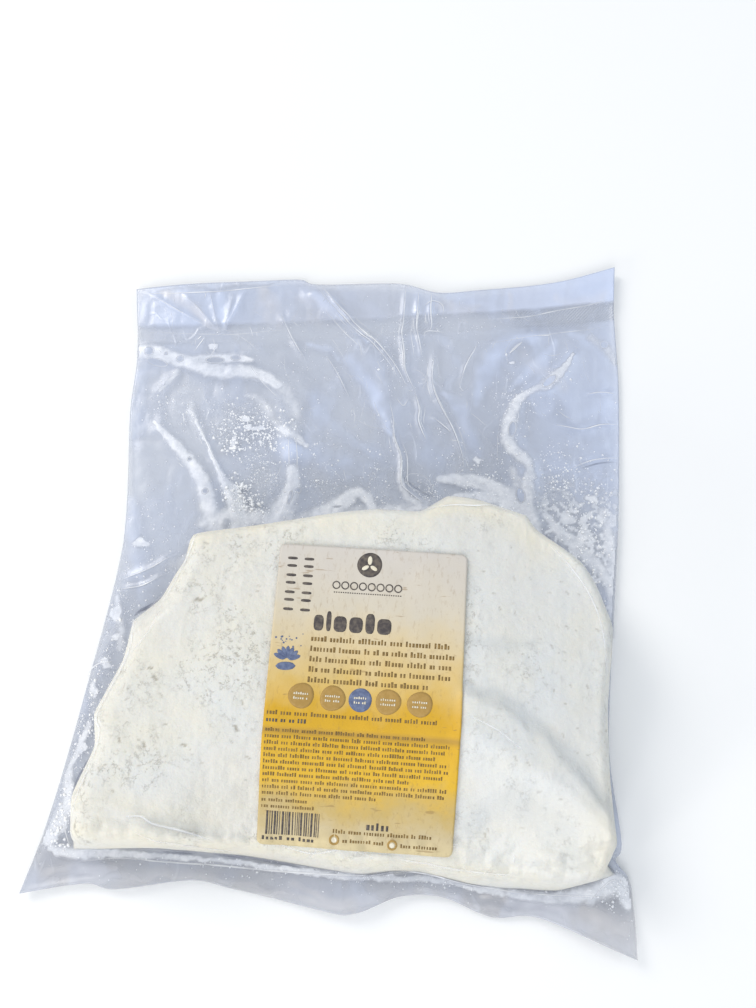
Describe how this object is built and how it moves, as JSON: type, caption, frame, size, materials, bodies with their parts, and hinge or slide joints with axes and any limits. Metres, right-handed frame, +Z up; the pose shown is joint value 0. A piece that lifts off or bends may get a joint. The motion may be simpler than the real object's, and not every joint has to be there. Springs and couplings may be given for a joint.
{
  "type": "vacuum-packed ricotta",
  "caption": "Slab of ricotta sealed in a clear flat vacuum pouch with an empty upper end and a paper label, lying on its back.",
  "frame": {"origin": "middle of the footprint, on the table", "axes": "+Z up, +Y towards the open lip beyond the upper heat seal, +X to the right when the label is read"},
  "size_m": [0.2004, 0.2526, 0.0313],
  "materials": {
    "pouch": "clear glossy film shrunk onto creamy white ricotta",
    "label": "matte kraft-look paper fading to golden yellow"
  },
  "bodies": {
    "root": {"pouch": "pouch", "label": "label"}
  },
  "joints": []
}
